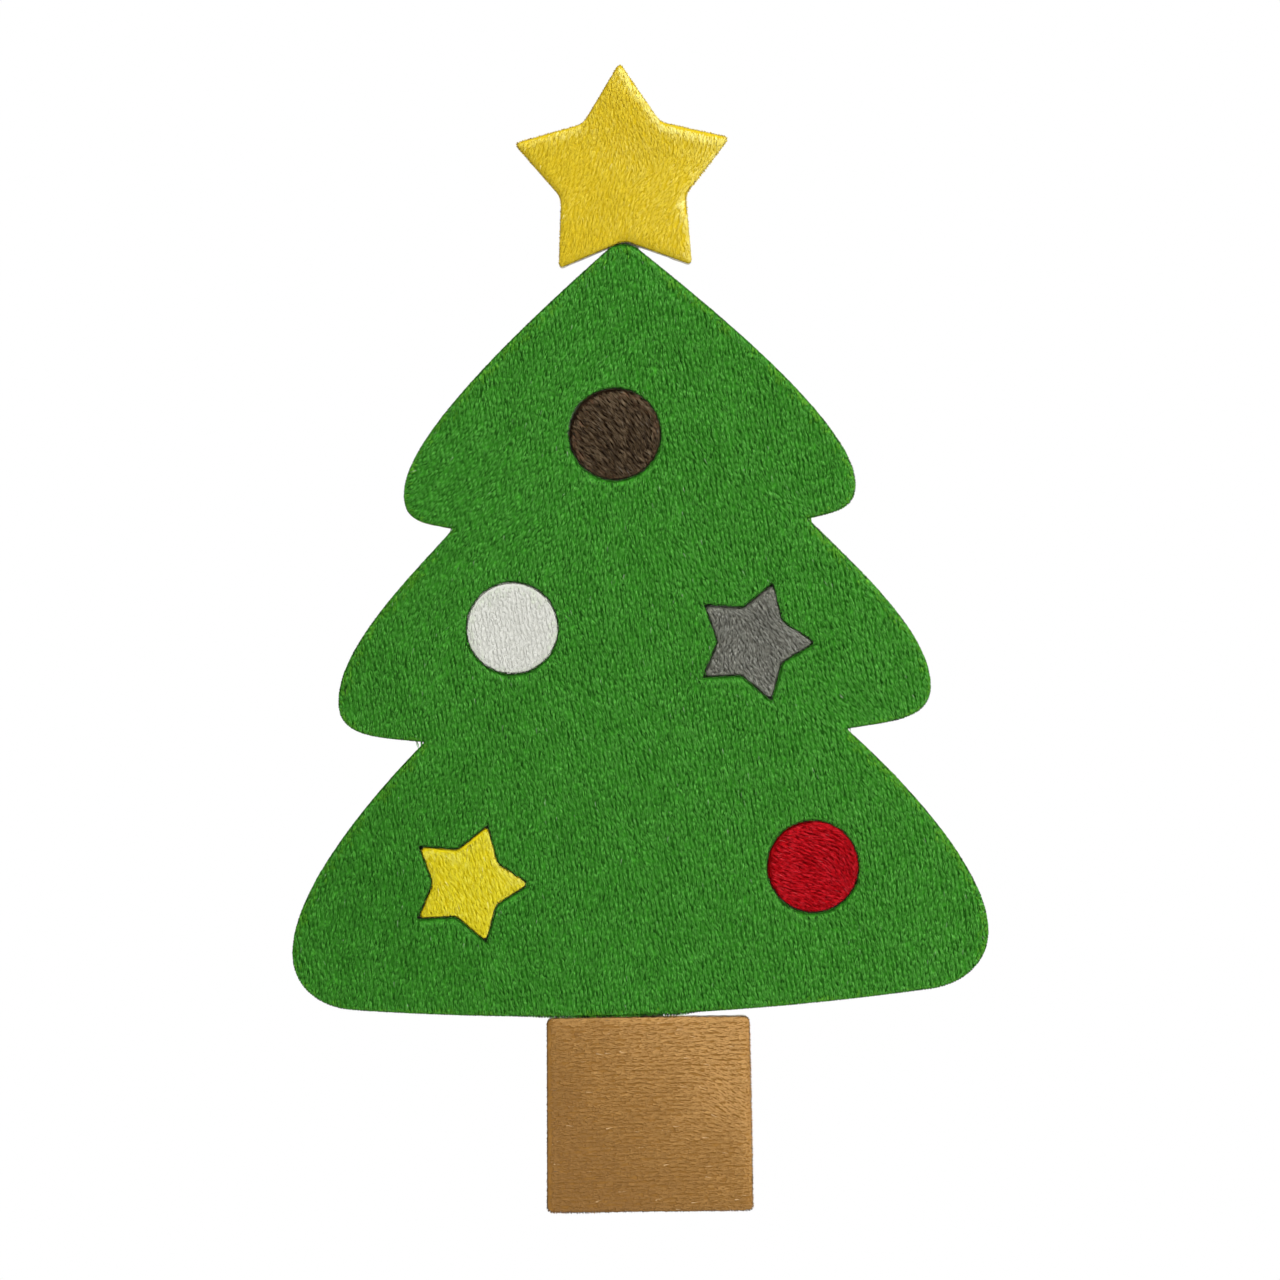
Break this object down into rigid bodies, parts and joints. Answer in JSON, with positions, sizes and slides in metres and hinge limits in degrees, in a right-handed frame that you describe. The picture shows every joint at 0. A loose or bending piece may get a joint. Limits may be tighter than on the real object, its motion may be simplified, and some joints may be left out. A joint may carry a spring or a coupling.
{
  "type": "christmas tree decoration",
  "caption": "Flat plush christmas tree with a star, a trunk and round and star inlays, laid on one felt backing.",
  "frame": {"origin": "on the felt backing's back face, on the tree's axis, half way up the decoration", "axes": "+Z the tree's up, from trunk to star; +Y out of the back, away from the plush; +X to the right of someone who looks at the plush"},
  "size_m": [0.1092, 0.0063, 0.1801],
  "materials": {
    "felt": "matte",
    "film": "satin",
    "foam": "matte",
    "plush_green": "matte",
    "plush_gold": "matte",
    "plush_tan": "matte",
    "plush_brown": "matte",
    "plush_white": "matte",
    "plush_grey": "matte",
    "plush_yellow": "matte",
    "plush_red": "matte"
  },
  "bodies": {
    "root": {"backing_felt": "felt", "tree_film": "film", "tree_foam": "foam", "tree_plush": "plush_green", "top_star_film": "film", "top_star_foam": "foam", "top_star_plush": "plush_gold", "trunk_film": "film", "trunk_foam": "foam", "trunk_plush": "plush_tan", "brown_disc_film": "film", "brown_disc_foam": "foam", "brown_disc_plush": "plush_brown", "white_disc_film": "film", "white_disc_foam": "foam", "white_disc_plush": "plush_white", "red_disc_film": "film", "red_disc_foam": "foam", "red_disc_plush": "plush_red", "grey_star_film": "film", "grey_star_foam": "foam", "grey_star_plush": "plush_grey", "yellow_star_film": "film", "yellow_star_foam": "foam", "yellow_star_plush": "plush_yellow"}
  },
  "joints": []
}
